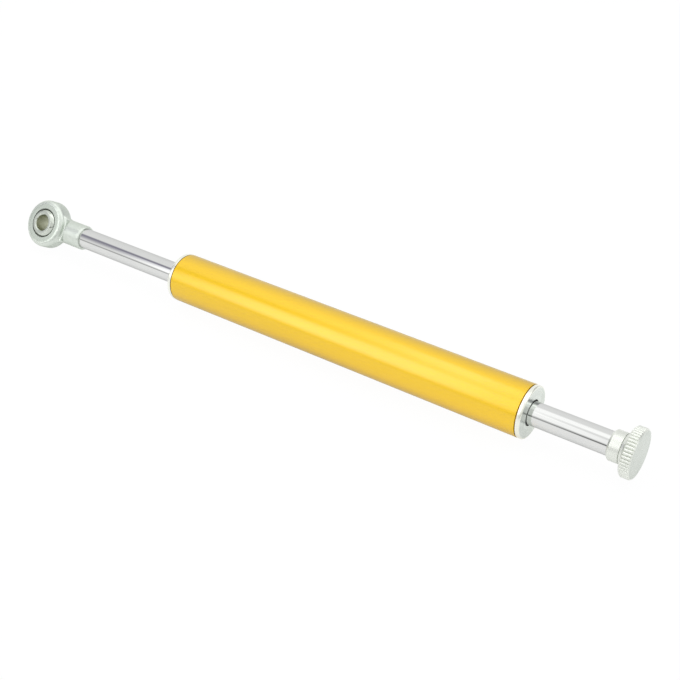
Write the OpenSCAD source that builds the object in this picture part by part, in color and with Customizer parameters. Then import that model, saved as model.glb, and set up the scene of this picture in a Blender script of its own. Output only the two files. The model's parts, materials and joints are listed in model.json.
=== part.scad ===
// Motorcycle steering damper with a through rod, a spherical rod end and a click adjuster.
// The origin is the middle of the tube on its axis, +X points to the adjuster knob, +Z is up.

/* [Tube] */
// Outside diameter of the damper tube
tube_od = 22.5; // [21:0.5:28]
// Wall of the damper tube
tube_wall = 1.75; // [1.25:0.05:2.25]
// Length of the damper tube
tube_len = 178.5; // [150:0.5:240]
// Chamfer on the outer edges of the tube's ends
tube_chamfer = 0.3; // [0.1:0.05:0.6]

/* [End caps] */
// Thickness of a cap's flange outside the tube
flange_t = 1.8; // [1.4:0.1:4]
// Step from the tube's outside down to the flange's rim
flange_step = 0.05; // [0:0.05:0.5]
// Rounding of the flange's outer rim
flange_round = 0.6; // [0.2:0.05:0.9]
// Thickness of the lip in front of the wiper
lip_t = 1; // [0.6:0.1:2]
// Gap between the lip and the rod
lip_gap = 0.55; // [0.3:0.05:0.8]
// Thread lead chamfer on the inner end of a cap
cap_lead = 0.6; // [0.2:0.1:1]
// Length of cap beyond the clip groove
cap_end_land = 2.4; // [1.5:0.1:5]
// Section of the O-ring between cap and tube
cap_ring_d = 1; // [0.8:0.1:1.2]
// Distance from the cap's inner end to the middle of its O-ring
cap_ring_inset = 8; // [6:0.5:12]

/* [Glands] */
// Radial section of the seals round the rod
seal_section = 2; // [1.6:0.1:2.4]
// Width of a wiper seal
wiper_w = 2.6; // [2:0.1:4]
// Distance from the cap's face back to the wiper's lip
wiper_recess = 0.15; // [0.05:0.05:0.4]
// Width of a rod seal
seal_w = 4; // [3:0.1:6]
// Depth of the groove between a rod seal's lips
seal_groove = 2.2; // [1.5:0.1:2.5]
// Thickness of the washer behind a rod seal
washer_t = 1; // [0.6:0.1:2]
// Gap between that washer and the rod
washer_gap = 0.2; // [0.1:0.05:0.4]
// Length of a guide bush
bush_len = 9; // [6:0.5:16]
// Chamfer at the ends of a guide bush's bore
bush_chamfer = 0.4; // [0.2:0.1:0.8]
// Thickness of a bush clip
bush_clip_t = 1; // [0.8:0.1:1.5]
// How deep a bush clip sits in its groove
bush_clip_bite = 0.5; // [0.3:0.1:0.8]
// How far a bush clip stands in from the gland's wall
bush_clip_stand = 1; // [0.6:0.1:1.4]

/* [Rod] */
// Diameter of the piston rod
rod_d = 10; // [9:0.5:11]
// Length of rod that shows between the left cap and the rod end
rod_shown_left = 64.25; // [40:0.25:90]
// Length of rod that shows between the right cap and the click collar
rod_shown_right = 33.25; // [20:0.25:60]
// Diameter of the threaded stud on the rod's left end
stud_d = 8; // [6:0.5:8.5]
// Room past the stud's end in the shank
stud_room = 0.5; // [0.2:0.1:1]
// Chamfer on the end of the stud
stud_chamfer = 0.8; // [0.3:0.1:1.2]
// How deep the rod's shoulder sits in the rod end's shank
rod_socket = 1.5; // [0.8:0.1:2.5]

/* [Piston] */
// Middle of the piston along the tube at rest
piston_x = -15.5; // [-25:0.5:-8]
// Length of the piston
piston_len = 14; // [10:0.5:20]
// Gap between the piston's skirt and the tube
piston_gap = 0.15; // [0.1:0.05:0.3]
// Chamfer on the piston's edges
piston_chamfer = 0.8; // [0.3:0.1:1.5]
// Width of the piston ring
ring_w = 4; // [2.5:0.1:6]
// Radial thickness of the piston ring
ring_t = 1.6; // [1.2:0.1:2.2]
// Side gap of the piston ring in its groove
ring_side_gap = 0.05; // [0.03:0.01:0.1]
// Thickness of a piston clip
piston_clip_t = 1; // [0.8:0.1:1.5]
// How deep a piston clip sits in the rod
piston_clip_bite = 0.5; // [0.3:0.1:0.8]
// How far a piston clip stands out of the rod
piston_clip_stand = 1.2; // [0.8:0.1:1.8]

/* [Valve] */
// Diameter of the long bore in the rod
bore_d = 4.4; // [4:0.1:5]
// Diameter of the two cross ports beside the piston
port_d = 3; // [2:0.1:3.4]
// Distance from a piston clip to the middle of its cross port
port_gap = 3.5; // [3:0.5:6]
// Blind length of bore past the left port
bore_tail = 3; // [2.5:0.5:6]
// Length of the valve seat
seat_len = 6; // [4:0.5:8]
// Diameter of the hole in the valve seat
orifice_d = 2.2; // [1.6:0.1:2.6]
// Full angle of the needle's cone
needle_angle = 60; // [40:5:90]
// Gap between needle and seat when the valve is shut
shut_gap = 0.03; // [0.02:0.01:0.06]
// Pitch of the adjuster's thread
thread_pitch = 0.7; // [0.5:0.05:1]
// Turns that the valve is open at rest
rest_turns = 1; // [0.5:0.5:2]
// Turns that it still opens from there
open_turns = 1; // [0.5:0.5:2]
// Diameter of the needle's shaft
needle_d = 3; // [2.4:0.1:3.6]
// Distance from the right port to the middle of the needle's O-ring
needle_seal_gap = 10; // [6:0.5:16]
// Length of the needle's land at its O-ring
needle_land_len = 5; // [3.5:0.5:8]
// Width of the needle's O-ring groove
needle_groove_w = 1.1; // [0.9:0.1:1.4]

/* [Adjuster] */
// Diameter of the click collar
collar_d = 12.6; // [12:0.1:16]
// Length of the click collar
collar_len = 5.1; // [4.5:0.1:7]
// Chamfer on the collar's edge at the rod
collar_chamfer = 0.9; // [0.4:0.1:1.2]
// Chamfer on the collar's edge at the knob
collar_edge = 0.3; // [0.1:0.05:0.5]
// Diameter of the collar's threaded spigot in the rod
spigot_d = 6; // [5.4:0.1:7]
// Length of that spigot
spigot_len = 9; // [6:0.5:14]
// Diameter of the adjuster's thread
thread_d = 4; // [3.6:0.1:4.2]
// Gap between the collar and the knob
knob_gap = 0.4; // [0.3:0.05:0.8]
// Diameter of the knob's stem in the collar
stem_d = 5.8; // [5:0.1:6.2]
// Length of the stem inside the collar
stem_len = 3; // [2.4:0.1:3.2]
// Wire of the snap ring that keeps the stem in the collar
snap_wire = 0.6; // [0.4:0.05:0.7]
// Diameter of the click ball
click_ball_d = 1.8; // [1.4:0.1:2]
// Radius of the circle that the click ball runs on
click_r = 4.6; // [4.4:0.05:4.8]
// Clicks in a turn
click_count = 12; // [8:1:16]
// Depth of the click ball's track in the knob
track_depth = 0.3; // [0.2:0.05:0.4]
// Depth of a click pocket below the track
pocket_depth = 0.3; // [0.2:0.05:0.5]
// Width of a click pocket
pocket_d = 1.4; // [1:0.1:1.6]
// Wire of the click spring
spring_wire = 0.26; // [0.2:0.02:0.3]
// Turns of the click spring
spring_turns = 3; // [2:0.5:4]
// Width across the needle's drive tongue
tongue_w = 3.2; // [2.6:0.1:3.4]
// Thickness of that tongue
tongue_t = 1.6; // [1.2:0.1:2]
// How far the tongue reaches into the knob past the collar
tongue_reach = 3.3; // [2:0.1:4]

/* [Knob] */
// Diameter of the knob over its ribs
knob_d = 20.75; // [16:0.25:22]
// Thickness of the knob's head
knob_t = 4.6; // [4:0.1:8]
// Ribs round the knob
rib_count = 45; // [36:1:50]
// Diameter of a rib
rib_d = 1.4; // [1.36:0.02:1.8]
// Chamfer on the knob's front edge
knob_front_chamfer = 0.6; // [0.3:0.1:1]
// Chamfer on the knob's back edge
knob_back_chamfer = 0.8; // [0.3:0.1:1.2]
// Diameter of the knob's hub
hub_d = 12; // [11.2:0.1:14]
// Length of the hub behind the head
hub_len = 1.4; // [1.2:0.1:4]
// Hollow rounding between hub and head
hub_fillet = 0.8; // [0.3:0.1:1.2]

/* [Rod end] */
// Diameter of the eye
eye_d = 23.6; // [22.5:0.1:28]
// Width of the eye across its flat faces
eye_w = 8.5; // [7.5:0.1:10]
// Rounding between the eye's faces and its rim
eye_round = 2.1; // [1.2:0.1:2.7]
// Thickness of the web between eye and shank
web_t = 3.8; // [2.5:0.1:5]
// Hollow rounding of that web beside the eye
web_round = 6; // [3:0.5:9]
// Wall of the shank round the rod's shoulder
shank_wall = 1.03; // [0.93:0.05:2.43]
// Length of the shank's full round
shank_land = 10.3; // [8:0.1:20]
// Metal between the neck and the stud's hole
shank_floor = 0.5; // [0.3:0.1:1]
// Chamfer along the shank's end
shank_chamfer_len = 1.2; // [0.6:0.1:2]
// Depth of that chamfer
shank_chamfer_depth = 0.45; // [0.2:0.05:0.5]
// Chamfer at the mouth of the shank's hole
mouth_chamfer = 0.3; // [0.1:0.05:0.35]
// Diameter of the ball
ball_d = 15.875; // [15:0.125:17]
// Width of the ball across its flat faces
ball_w = 11; // [10:0.1:12.5]
// Diameter of the bolt bore through the ball
eye_bore = 8; // [6:0.1:8.5]
// Chamfer at the ends of the bolt bore
eye_bore_chamfer = 0.4; // [0.2:0.05:0.6]
// Thickness of the liner round the ball
liner_t = 0.5; // [0.3:0.05:0.8]
// Width of the liner
liner_w = 7.4; // [6:0.1:8]
// Roll of the eye about the rod at rest
eye_roll = 34; // [-90:1:90]

/* [Fits] */
// Opening of the snap rings
clip_opening = 3; // [2:0.1:4]
// Radial gap between pieces that run on each other
run_gap = 0.03; // [0.02:0.01:0.06]
// Gap between pieces that are screwed, pressed or seated together
seat_gap = 0.02; // [0.01:0.01:0.04]

/* [Hidden] */
$fn = 96;

// Overlap of a cut past the face that it opens
cut = 1;

// Room round the knob's ribs, outside the head that is cut from them
rib_room = 0.5;

// Tube and caps
tube_r = tube_od / 2;
tube_bore_r = tube_r - tube_wall;
tube_end = tube_len / 2;
cap_face = tube_end + flange_t;
flange_r = tube_r - flange_step;
cap_plug_r = tube_bore_r - seat_gap;

// Gland stack, from the cap's face inwards
rod_r = rod_d / 2;
rod_run_r = rod_r + run_gap;
gland_r = rod_r + seal_section;
gland_fill_r = gland_r - seat_gap;
lip_r = rod_r + lip_gap;
wiper_face = cap_face - lip_t;
seal_face = wiper_face - wiper_w;
washer_face = seal_face - seal_w;
bush_face = washer_face - washer_t;
bush_clip_face = bush_face - bush_len;
cap_end = bush_clip_face - bush_clip_t - cap_end_land;
cap_ring_x = cap_end + cap_ring_inset;
cap_ring_root = tube_bore_r - cap_ring_d - seat_gap;

// Rod and piston
shank_end = -cap_face - rod_shown_left;
rod_left = shank_end - rod_socket;
rod_right = cap_face + rod_shown_right;
piston_left = piston_x - piston_len / 2;
piston_right = piston_x + piston_len / 2;
piston_r = tube_bore_r - piston_gap;
ring_r = tube_bore_r - run_gap;
ring_bore_r = ring_r - ring_t;
ring_groove_r = ring_bore_r - run_gap;
ring_groove_w = ring_w + 2 * ring_side_gap;
piston_clip_root = rod_r - piston_clip_bite;

// Valve in the rod's bore
bore_r = bore_d / 2;
left_port = piston_left - piston_clip_t - port_gap;
right_port = piston_right + piston_clip_t + port_gap;
bore_end = left_port - bore_tail;
seat_right = piston_x + seat_len / 2;
needle_r = needle_d / 2;
orifice_r = orifice_d / 2;
cone_rise = tan(needle_angle / 2);
needle_tip = seat_right - (orifice_r - shut_gap) / cone_rise + thread_pitch * rest_turns;
needle_ring_x = right_port + needle_seal_gap;
needle_land_r = bore_r - run_gap;
needle_ring_root = needle_r;
needle_ring_d = bore_r - run_gap - needle_ring_root - seat_gap;

// Click collar and knob
collar_face = rod_right + collar_len;
stem_left = collar_face - stem_len;
stem_pocket_left = stem_left - knob_gap;
hub_left = collar_face + knob_gap;
knob_back = hub_left + hub_len;
knob_front = knob_back + knob_t;
knob_r = knob_d / 2;
stem_r = stem_d / 2;
stem_pocket_r = stem_r + run_gap;
snap_x = (stem_left + collar_face) / 2;
snap_r = snap_wire / 2;
thread_r = thread_d / 2;
needle_thread_right = stem_pocket_left - thread_pitch * open_turns;
tongue_right = hub_left + tongue_reach;
socket_right = tongue_right + thread_pitch * open_turns + knob_gap;
click_hole_r = click_ball_d / 2 + run_gap;
click_hole_left = stem_pocket_left;
click_ball_x = hub_left + track_depth - run_gap - click_ball_d / 2;

// Click spring, a helix between the hole's floor and the ball
spring_coil_r = click_hole_r - run_gap - spring_wire / 2;
spring_seat_r = click_ball_d / 2 + run_gap + spring_wire / 2;
spring_left = click_hole_left + seat_gap + spring_wire / 2;
spring_right = click_ball_x - sqrt(pow(spring_seat_r, 2) - pow(spring_coil_r, 2));
spring_sides = 6;
spring_rings = 12;

// Rod end, in its own frame with the eye's middle at the origin and the bolt bore along Y
eye_r = eye_d / 2;
eye_face_r = eye_r - eye_round;
eye_rim_half = eye_w / 2 - eye_round;
mouth_r = rod_r + seat_gap;
shank_r = mouth_r + shank_wall;
neck_round = shank_r - web_t / 2;
shank_len = eye_r + neck_round + shank_land;
eye_x = shank_end - shank_len;
stud_len = shank_land - rod_socket - stud_room - shank_floor;
ball_r = ball_d / 2;
liner_bore_r = ball_r + run_gap;
liner_r = liner_bore_r + liner_t;
eye_seat_r = liner_r + seat_gap;
hole_left = shank_len - shank_land + shank_floor;
web_x = sqrt(pow(eye_r + web_round, 2) - pow(shank_r + web_round, 2));
web_z = shank_r + web_round;
eye_share = eye_r / (eye_r + web_round);

// A profile of radius and X, turned about the X axis
module turned() {
    rotate([0, 90, 0])
        rotate_extrude()
            children();
}

// A rectangle of a turned profile, from one X and radius to another
module band(x0, x1, r0, r1) {
    translate([r0, x0])
        square([r1 - r0, x1 - x0]);
}

// A rectangle of a turned profile with its two outer corners chamfered
module edged_band(x0, x1, r0, r1, edge0, edge1) {
    polygon([
        [r0, x0], [r1 - edge0, x0], [r1, x0 + edge0],
        [r1, x1 - edge1], [r1 - edge1, x1], [r0, x1]
    ]);
}

// A sector that opens a snap ring at its top
module clip_gap(x0, x1, r) {
    translate([x0 - cut, -clip_opening / 2, 0])
        cube([x1 - x0 + 2 * cut, clip_opening, r + cut]);
}

// The left end mirrors the right one
module left_side() {
    mirror([1, 0, 0])
        children();
}

// Places a piece of the rod end, drawn with its bolt bore along Y
module at_eye() {
    translate([eye_x, 0, 0])
        rotate([-eye_roll, 0, 0])
            children();
}

module damper_tube() {
    color("goldenrod")
        turned()
            edged_band(-tube_end, tube_end, tube_bore_r, tube_r, tube_chamfer, tube_chamfer);
}

// Flanged gland cap on the right: a rounded flange, a plug in the tube and a stepped bore for the seals
module end_cap() {
    turned()
        difference() {
            union() {
                band(tube_end, cap_face, 0, flange_r - flange_round);
                band(tube_end, cap_face - flange_round, 0, flange_r);
                translate([flange_r - flange_round, cap_face - flange_round])
                    circle(flange_round);
                edged_band(cap_end, tube_end, 0, cap_plug_r, cap_lead, 0);
            }
            band(wiper_face - cut, cap_face + cut, 0, lip_r);
            band(cap_end - cut, wiper_face, 0, gland_r);
            band(bush_clip_face - bush_clip_t, bush_clip_face, 0, gland_r + bush_clip_bite);
            translate([cap_ring_root, cap_ring_x - cap_ring_d / 2 - seat_gap])
                square([cap_ring_d + cut, cap_ring_d + 2 * seat_gap]);
        }
}

module left_end_cap() {
    color("gainsboro")
        left_side()
            end_cap();
}

module right_end_cap() {
    color("gainsboro")
        end_cap();
}

// Wiper with a thin lip that fills the gap between cap and rod
module wiper_seal() {
    lip_top = lip_r - seat_gap;
    turned() {
        band(seal_face, wiper_face, rod_run_r, gland_fill_r);
        polygon([
            [rod_run_r, wiper_face - seat_gap],
            [lip_top, wiper_face - seat_gap],
            [lip_top, cap_face - lip_t / 2],
            [(rod_run_r + lip_top) / 2, cap_face - wiper_recess],
            [rod_run_r, cap_face - wiper_recess]
        ]);
    }
}

module left_wiper_seal() {
    color("black")
        left_side()
            wiper_seal();
}

module right_wiper_seal() {
    color("black")
        wiper_seal();
}

// Lip seal whose groove opens to the oil
module rod_seal() {
    seal_mid = (rod_run_r + gland_fill_r) / 2;
    groove_half = (gland_fill_r - rod_run_r) / 4;
    turned()
        difference() {
            band(washer_face, seal_face, rod_run_r, gland_fill_r);
            polygon([
                [seal_mid - groove_half, washer_face - cut],
                [seal_mid + groove_half, washer_face - cut],
                [seal_mid + groove_half, washer_face],
                [seal_mid, washer_face + seal_groove],
                [seal_mid - groove_half, washer_face]
            ]);
        }
}

module left_rod_seal() {
    color("saddlebrown")
        left_side()
            rod_seal();
}

module right_rod_seal() {
    color("saddlebrown")
        rod_seal();
}

module seal_washer() {
    turned()
        band(bush_face, washer_face, rod_r + washer_gap, gland_fill_r);
}

module left_seal_washer() {
    color("silver")
        left_side()
            seal_washer();
}

module right_seal_washer() {
    color("silver")
        seal_washer();
}

// Plain bearing of the rod, with a chamfered bore
module guide_bush() {
    turned()
        polygon([
            [rod_run_r + bush_chamfer, bush_clip_face],
            [gland_fill_r, bush_clip_face],
            [gland_fill_r, bush_face],
            [rod_run_r + bush_chamfer, bush_face],
            [rod_run_r, bush_face - bush_chamfer],
            [rod_run_r, bush_clip_face + bush_chamfer]
        ]);
}

module left_guide_bush() {
    color("peru")
        left_side()
            guide_bush();
}

module right_guide_bush() {
    color("peru")
        guide_bush();
}

// Inside snap ring that holds the gland stack in its cap
module bush_clip() {
    clip_left = bush_clip_face - bush_clip_t;
    clip_r = gland_r + bush_clip_bite - seat_gap;
    difference() {
        turned()
            band(clip_left, bush_clip_face, gland_r - bush_clip_stand, clip_r);
        clip_gap(clip_left, bush_clip_face, clip_r);
    }
}

module left_bush_clip() {
    color("dimgray")
        left_side()
            bush_clip();
}

module right_bush_clip() {
    color("dimgray")
        bush_clip();
}

module cap_ring() {
    turned()
        translate([cap_ring_root + seat_gap / 2 + cap_ring_d / 2, cap_ring_x])
            circle(cap_ring_d / 2);
}

module left_cap_ring() {
    color("black")
        left_side()
            cap_ring();
}

module right_cap_ring() {
    color("black")
        cap_ring();
}

module piston_ring() {
    color("darkslategray")
        turned()
            band(piston_x - ring_w / 2, piston_x + ring_w / 2, ring_bore_r, ring_r);
}

// Rod with a stud for the rod end, clip grooves at the piston and a ported bore for the valve
module piston_rod() {
    color("whitesmoke")
        difference() {
            turned()
                difference() {
                    union() {
                        band(rod_left, rod_right, 0, rod_r);
                        edged_band(rod_left - stud_len, rod_left, 0, stud_d / 2, stud_chamfer, 0);
                    }
                    band(piston_left - piston_clip_t, piston_left, piston_clip_root, rod_r + cut);
                    band(piston_right, piston_right + piston_clip_t, piston_clip_root, rod_r + cut);
                    band(bore_end, rod_right + cut, 0, bore_r);
                    band(rod_right - spigot_len, rod_right + cut, 0, spigot_d / 2 + seat_gap);
                }
            for (x = [left_port, right_port])
                translate([x, 0, -rod_r - cut])
                    cylinder(h = rod_d + 2 * cut, d = port_d);
        }
}

module piston() {
    color("darkgray")
        turned()
            difference() {
                edged_band(piston_left, piston_right, rod_r + seat_gap, piston_r, piston_chamfer, piston_chamfer);
                band(piston_x - ring_groove_w / 2, piston_x + ring_groove_w / 2, ring_groove_r, piston_r + cut);
            }
}

// Two outside snap rings, one at each end of the piston
module piston_clips() {
    clip_r = rod_r + piston_clip_stand;
    color("dimgray")
        for (x = [piston_left - piston_clip_t, piston_right])
            difference() {
                turned()
                    band(x, x + piston_clip_t, piston_clip_root + seat_gap, clip_r);
                clip_gap(x, x + piston_clip_t, clip_r);
            }
}

module valve_seat() {
    color("gold")
        turned()
            band(seat_right - seat_len, seat_right, orifice_r, bore_r - seat_gap);
}

// Eye and shank in one piece: a rounded ring, a thin web with hollow sides and a round shank
module rod_end_housing() {
    color("lightgray")
        at_eye()
            difference() {
                union() {
                    eye_ring();
                    eye_web();
                    eye_shank();
                }
                sphere(eye_seat_r);
                turned() {
                    band(hole_left, shank_len, 0, stud_d / 2 + seat_gap);
                    polygon([
                        [0, shank_len - rod_socket], [mouth_r, shank_len - rod_socket],
                        [mouth_r, shank_len - mouth_chamfer], [mouth_r + mouth_chamfer, shank_len],
                        [mouth_r + mouth_chamfer, shank_len + cut], [0, shank_len + cut]
                    ]);
                }
            }
}

module eye_ring() {
    rotate([90, 0, 0])
        rotate_extrude() {
            translate([0, -eye_w / 2])
                square([eye_face_r, eye_w]);
            translate([0, -eye_rim_half])
                square([eye_r, 2 * eye_rim_half]);
            for (side = [-1, 1])
                translate([eye_face_r, side * eye_rim_half])
                    circle(eye_round);
        }
}

module eye_web() {
    rotate([90, 0, 0])
        linear_extrude(web_t, center = true)
            difference() {
                polygon([
                    [0, 0],
                    [web_x * eye_share, web_z * eye_share], [web_x, web_z],
                    [web_x, -web_z], [web_x * eye_share, -web_z * eye_share]
                ]);
                for (side = [-1, 1])
                    translate([web_x, side * web_z])
                        circle(web_round);
            }
}

// The shank is round, and its sides are cut down to the web in a hollow curve towards the eye
module eye_shank() {
    difference() {
        turned()
            polygon([
                [0, 0], [shank_r, 0], [shank_r, shank_len - shank_chamfer_len],
                [shank_r - shank_chamfer_depth, shank_len], [0, shank_len]
            ]);
        for (side = [-1, 1])
            translate([0, side * (web_t / 2 + neck_round), 0]) {
                translate([eye_r, 0, -eye_r])
                    cylinder(h = eye_d, r = neck_round);
                translate([-cut, -neck_round, -eye_r])
                    cube([eye_r + cut, 2 * neck_round, eye_d]);
            }
    }
}

module rod_end_liner() {
    color("dimgray")
        at_eye()
            rotate([90, 0, 0])
                rotate_extrude()
                    difference() {
                        intersection() {
                            circle(liner_r);
                            translate([0, -liner_w / 2])
                                square([liner_r, liner_w]);
                        }
                        circle(liner_bore_r);
                    }
}

module rod_end_ball() {
    bore_mouth = eye_bore / 2 + eye_bore_chamfer;
    color("lightsteelblue")
        at_eye()
            rotate([90, 0, 0])
                difference() {
                    intersection() {
                        sphere(ball_r);
                        cylinder(h = ball_w, r = ball_r + cut, center = true);
                    }
                    cylinder(h = ball_w + 2 * cut, d = eye_bore, center = true);
                    for (side = [0, 1])
                        mirror([0, 0, side])
                            translate([0, 0, ball_w / 2 - eye_bore_chamfer])
                                cylinder(h = eye_bore_chamfer, r1 = eye_bore / 2, r2 = bore_mouth);
                }
}

// Collar screwed into the rod, with the needle's thread, a pocket for the knob's stem and the click hole
module click_collar() {
    color("silver")
        difference() {
            turned()
                difference() {
                    union() {
                        edged_band(rod_right, collar_face, 0, collar_d / 2, collar_chamfer, collar_edge);
                        band(rod_right - spigot_len, rod_right, 0, spigot_d / 2);
                    }
                    band(rod_right - spigot_len - cut, collar_face + cut, 0, thread_r);
                    band(stem_pocket_left, collar_face + cut, 0, stem_pocket_r);
                    translate([stem_pocket_r, snap_x])
                        circle(snap_r + run_gap);
                }
            translate([click_hole_left, 0, click_r])
                rotate([0, 90, 0])
                    cylinder(h = collar_face - click_hole_left + cut, r = click_hole_r);
        }
}

module click_ball() {
    color("lightsteelblue")
        translate([click_ball_x, 0, click_r])
            sphere(click_ball_d / 2);
}

// One ring of points round the spring's wire, square to the helix near enough for its low pitch
function spring_ring(i) =
    let (
        share = i / (spring_turns * spring_rings),
        turn = 360 * spring_turns * share,
        mid_x = spring_left + (spring_right - spring_left) * share
    )
    [for (side = [0 : spring_sides - 1])
        let (
            a = 360 * side / spring_sides,
            r = spring_coil_r + spring_wire / 2 * cos(a)
        )
        [mid_x + spring_wire / 2 * sin(a), r * sin(turn), r * cos(turn)]];

module click_spring() {
    last = spring_turns * spring_rings;
    n = spring_sides;
    points = [for (i = [0 : last]) each spring_ring(i)];
    walls = [for (i = [0 : last - 1], s = [0 : n - 1])
        let (a = i * n + s, b = i * n + (s + 1) % n)
        each [[a, a + n, b + n], [a, b + n, b]]];
    start = [for (s = [1 : n - 2]) [0, s, s + 1]];
    end = [for (s = [1 : n - 2]) [last * n, last * n + s + 1, last * n + s]];
    color("dimgray")
        translate([0, 0, click_r])
            polyhedron(points, concat(walls, start, end));
}

// Fluted head on a short hub, with a stem in the collar, a slot for the needle and the click track
module adjuster_knob() {
    color("silver")
        difference() {
            union() {
                intersection() {
                    knob_ribs();
                    turned()
                        edged_band(knob_back, knob_front, 0, knob_r + rib_room,
                                   knob_back_chamfer + rib_room, knob_front_chamfer + rib_room);
                }
                turned()
                    difference() {
                        union() {
                            band(stem_left, hub_left + cut, 0, stem_r);
                            band(hub_left, knob_back + cut, 0, hub_d / 2);
                            band(knob_back - hub_fillet, knob_back + cut, 0, hub_d / 2 + hub_fillet);
                        }
                        translate([hub_d / 2 + hub_fillet, knob_back - hub_fillet])
                            circle(hub_fillet);
                        translate([stem_r, snap_x])
                            circle(snap_r + run_gap);
                        click_track();
                    }
            }
            tongue_bar(stem_left - cut, socket_right, run_gap);
            for (i = [0 : click_count - 1])
                rotate([360 / click_count * i, 0, 0])
                    translate([hub_left, 0, click_r])
                        rotate([0, 90, 0])
                            cylinder(h = track_depth + pocket_depth, d = pocket_d);
        }
}

// A core with a round rib at each step, longer than the head that is cut from it:
// neighbouring ribs meet in a narrow groove
module knob_ribs() {
    rib_r = rib_d / 2;
    rib_len = knob_t + 2 * rib_room;
    rotate([0, 90, 0])
        translate([0, 0, knob_back - rib_room]) {
            cylinder(h = rib_len, r = knob_r - rib_r);
            for (i = [0 : rib_count - 1])
                rotate([0, 0, 360 / rib_count * i])
                    translate([knob_r - rib_r, 0, 0])
                        cylinder(h = rib_len, r = rib_r);
        }
}

// Groove of the knob in which the click ball runs round
module click_track() {
    track_half = click_ball_d / 2;
    band(hub_left - cut, hub_left + track_depth, click_r - track_half, click_r + track_half);
}

// Flat bar with round edges, which drives the needle
module tongue_bar(x0, x1, gap) {
    intersection() {
        turned()
            band(x0, x1, 0, tongue_w / 2 + gap);
        translate([x0, -tongue_w, -tongue_t / 2 - gap])
            cube([x1 - x0, 2 * tongue_w, tongue_t + 2 * gap]);
    }
}

// Round wire ring that sits half in the stem and half in the collar
module snap_ring() {
    snap_mid = (stem_r + stem_pocket_r) / 2;
    color("dimgray")
        difference() {
            turned()
                translate([snap_mid, snap_x])
                    circle(snap_r);
            clip_gap(snap_x - snap_wire, snap_x + snap_wire, stem_r + snap_wire);
        }
}

// Long screw with a coned tip, a land for its O-ring, a thread in the collar and a drive tongue
module valve_needle() {
    cone_base = needle_tip + needle_r / cone_rise;
    land_left = needle_ring_x - needle_land_len / 2;
    color("lightgray")
        union() {
            turned()
                difference() {
                    union() {
                        polygon([[0, needle_tip], [needle_r, cone_base], [0, cone_base]]);
                        band(cone_base, needle_thread_right, 0, needle_r);
                        band(land_left, land_left + needle_land_len, 0, needle_land_r);
                        band(rod_right - spigot_len, needle_thread_right, 0, thread_r - run_gap);
                    }
                    band(needle_ring_x - needle_groove_w / 2, needle_ring_x + needle_groove_w / 2,
                         needle_ring_root, needle_land_r + cut);
                }
            tongue_bar(needle_thread_right - seat_gap, tongue_right, 0);
        }
}

module needle_ring() {
    color("black")
        turned()
            translate([needle_ring_root + seat_gap / 2 + needle_ring_d / 2, needle_ring_x])
                circle(needle_ring_d / 2);
}

damper_tube();
left_end_cap();
right_end_cap();
left_wiper_seal();
right_wiper_seal();
left_rod_seal();
right_rod_seal();
left_seal_washer();
right_seal_washer();
left_guide_bush();
right_guide_bush();
left_bush_clip();
right_bush_clip();
left_cap_ring();
right_cap_ring();
piston_ring();
piston_rod();
piston();
piston_clips();
valve_seat();
rod_end_housing();
rod_end_liner();
rod_end_ball();
click_collar();
click_ball();
click_spring();
adjuster_knob();
snap_ring();
valve_needle();
needle_ring();
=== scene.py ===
"""Steering damper: modelled pieces, finishes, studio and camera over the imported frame.

Sizes are in millimetres, as on the part's drawing, and become metres where a mesh is made.
The X axis runs along the tube and rod towards the adjuster knob.
"""

import json
import logging
import math
from dataclasses import dataclass
from enum import Enum
from typing import Any, Callable, Dict, List, Optional, Sequence, Tuple, Union

import bmesh
import bpy
from mathutils import Euler, Matrix, Vector


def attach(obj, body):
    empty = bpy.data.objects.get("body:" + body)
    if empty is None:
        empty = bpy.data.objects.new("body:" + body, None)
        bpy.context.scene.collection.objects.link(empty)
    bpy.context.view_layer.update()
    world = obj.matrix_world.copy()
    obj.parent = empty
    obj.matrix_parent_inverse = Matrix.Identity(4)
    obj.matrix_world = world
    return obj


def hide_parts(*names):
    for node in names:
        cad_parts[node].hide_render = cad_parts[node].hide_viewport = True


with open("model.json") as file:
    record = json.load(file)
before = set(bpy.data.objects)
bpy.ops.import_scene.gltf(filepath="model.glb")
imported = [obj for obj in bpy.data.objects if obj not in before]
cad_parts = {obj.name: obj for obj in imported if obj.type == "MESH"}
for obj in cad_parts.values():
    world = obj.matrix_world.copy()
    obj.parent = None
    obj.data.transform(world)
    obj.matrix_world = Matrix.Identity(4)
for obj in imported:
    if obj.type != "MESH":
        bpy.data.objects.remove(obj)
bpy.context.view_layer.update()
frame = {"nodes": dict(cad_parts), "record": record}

MM = 0.001
X_AXIS = (1.0, 0.0, 0.0)
Y_AXIS = (0.0, 1.0, 0.0)
# Turns a bar that stands along Z to the tube's axis.
ALONG_X = Matrix.Rotation(math.radians(90), 4, "Y")
MERGE = 1e-6
ROUNDING_STEPS = 6
# Length of a drawn surface's marks over their width.
DRAWN_STRETCH = 60
WHITE = (1.0, 1.0, 1.0, 1.0)
log = logging.getLogger("steering_damper")


class Slot(Enum):
    """The record's material slots."""

    GOLD = "gold_anodised"
    CAP = "cap_aluminium"
    KNOB = "knob_aluminium"
    PLAIN_ALUMINIUM = "plain_aluminium"
    CHROME = "hard_chrome"
    ZINC = "zinc_steel"
    BEARING = "bearing_steel"
    PLAIN_STEEL = "plain_steel"
    SPRING = "spring_steel"
    BRONZE = "bronze"
    BRASS = "seat_brass"
    BLACK_RUBBER = "black_rubber"
    BROWN_RUBBER = "brown_rubber"
    PTFE = "filled_ptfe"


class Body(Enum):
    """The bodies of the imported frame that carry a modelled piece."""

    BARREL = "barrel"
    ROD = "rod"
    BALL = "ball"
    KNOB = "knob"


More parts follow.
